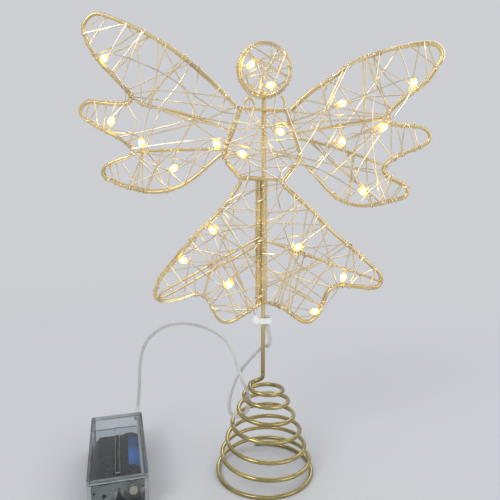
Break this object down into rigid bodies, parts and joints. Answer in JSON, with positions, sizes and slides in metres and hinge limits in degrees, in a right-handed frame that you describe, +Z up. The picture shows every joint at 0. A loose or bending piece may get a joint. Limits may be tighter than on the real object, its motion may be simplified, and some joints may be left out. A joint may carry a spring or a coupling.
{
  "type": "angel tree topper",
  "caption": "Flat laced-wire angel with pin lights on a conical coil base that grips a tree tip, with a thin lead to a battery box.",
  "frame": {"origin": "middle of the coil base's lowest ring, on the surface that it stands on", "axes": "+Z up, +X to the right as the figure is seen from its front, +Y away from the viewer"},
  "size_m": [0.2086, 0.0888, 0.2663],
  "materials": {
    "gold_paint": "satin gold paint on bent wire",
    "brass_wire": "drawn wire, brassy and a little worn",
    "pale_gold_wire": "bright fine wire",
    "lamp_resin": "clear resin bead, lit warm white",
    "clear_plastic": "clear moulded plastic",
    "lead_vinyl": "clear-white vinyl",
    "white_nylon": "white plastic",
    "board_laminate": "grey-green board",
    "cell_body": "dark plain sleeve on a metal can",
    "contact_steel": "plated spring steel",
    "button_plastic": "grey-beige plastic"
  },
  "bodies": {
    "base": {"spring_base": "brass_wire", "power_lead": "lead_vinyl", "inner_lead": "lead_vinyl", "lead_gland": "lead_vinyl", "battery_case": "clear_plastic", "cell_left": "cell_body", "cell_right": "cell_body", "contact_left": "contact_steel", "contact_right": "contact_steel", "cell_bridge": "contact_steel", "circuit_board": "board_laminate"},
    "figure": {"stem_rod": "gold_paint", "support_rod": "gold_paint", "head_ring": "gold_paint", "left_neck_wire": "gold_paint", "right_neck_wire": "gold_paint", "left_torso_frame": "gold_paint", "right_torso_frame": "gold_paint", "shoulder_bar": "gold_paint", "waist_bar": "gold_paint", "left_wing_frame": "gold_paint", "right_wing_frame": "gold_paint", "left_wing_upper_rib": "gold_paint", "left_wing_lower_rib": "gold_paint", "right_wing_upper_rib": "gold_paint", "right_wing_lower_rib": "gold_paint", "left_skirt_frame": "gold_paint", "right_skirt_frame": "gold_paint", "left_skirt_rib": "gold_paint", "right_skirt_rib": "gold_paint", "head_lacing": "pale_gold_wire", "torso_lacing": "pale_gold_wire", "left_wing_lacing": "pale_gold_wire", "right_wing_lacing": "pale_gold_wire", "skirt_lacing": "pale_gold_wire", "light_wire": "pale_gold_wire", "lamp_01": "lamp_resin", "lamp_02": "lamp_resin", "lamp_03": "lamp_resin", "lamp_04": "lamp_resin", "lamp_05": "lamp_resin", "lamp_06": "lamp_resin", "lamp_07": "lamp_resin", "lamp_08": "lamp_resin", "lamp_09": "lamp_resin", "lamp_10": "lamp_resin", "lamp_11": "lamp_resin", "lamp_12": "lamp_resin", "lamp_13": "lamp_resin", "lamp_14": "lamp_resin", "lamp_15": "lamp_resin", "lamp_16": "lamp_resin", "lamp_17": "lamp_resin", "lamp_18": "lamp_resin", "lamp_19": "lamp_resin", "lamp_20": "lamp_resin", "lead_tie": "white_nylon", "lead_top": "lead_vinyl"},
    "cover": {"battery_cover": "clear_plastic"},
    "button": {"push_button": "button_plastic"}
  },
  "joints": [
    {"name": "figure_bounce", "type": "slide", "parent": "base", "child": "figure", "axis": [0, 0, 1], "range_m": [-0.012, 0], "stiffness_N_per_m": 800, "springref_m": 0.0005, "deforming": ["spring_base"]},
    {"name": "cover_slide", "type": "slide", "parent": "base", "child": "cover", "axis": [0.2605, -0.9655, 0], "range_m": [0, 0.055]},
    {"name": "button_press", "type": "slide", "parent": "base", "child": "button", "axis": [-0.2605, 0.9655, 0], "range_m": [0, 0.0006], "stiffness_N_per_m": 1500, "springref_m": -0.0005}
  ]
}
